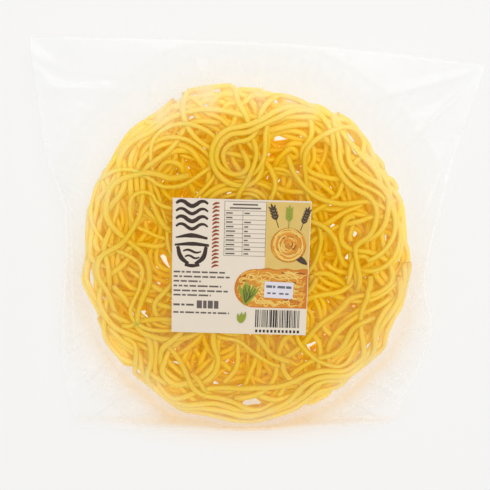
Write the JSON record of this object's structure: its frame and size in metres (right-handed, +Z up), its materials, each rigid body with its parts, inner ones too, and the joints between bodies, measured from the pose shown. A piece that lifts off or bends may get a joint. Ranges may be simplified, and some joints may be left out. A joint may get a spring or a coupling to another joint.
{
  "type": "nest of fried egg noodles",
  "caption": "Round flat nest of wavy fried egg noodles in a clear sealed bag, with a square paper label and a small date sticker on the face, lying on its back.",
  "frame": {"origin": "centre of the pack's box on the surface it lies on", "axes": "+Z up, out of the labelled face; +Y towards the label's top edge and the bag's wide end; +X to the right of the label"},
  "size_m": [0.261, 0.2452, 0.0447],
  "materials": {
    "noodle": "fried egg dough, lightly oiled",
    "film": "clear thin polypropylene film",
    "label_paper": null,
    "sticker_paper": "white price-gun paper"
  },
  "bodies": {
    "root": {"noodle_nest": "noodle", "bag": "film", "label": "label_paper", "date_sticker": "sticker_paper"}
  },
  "joints": []
}
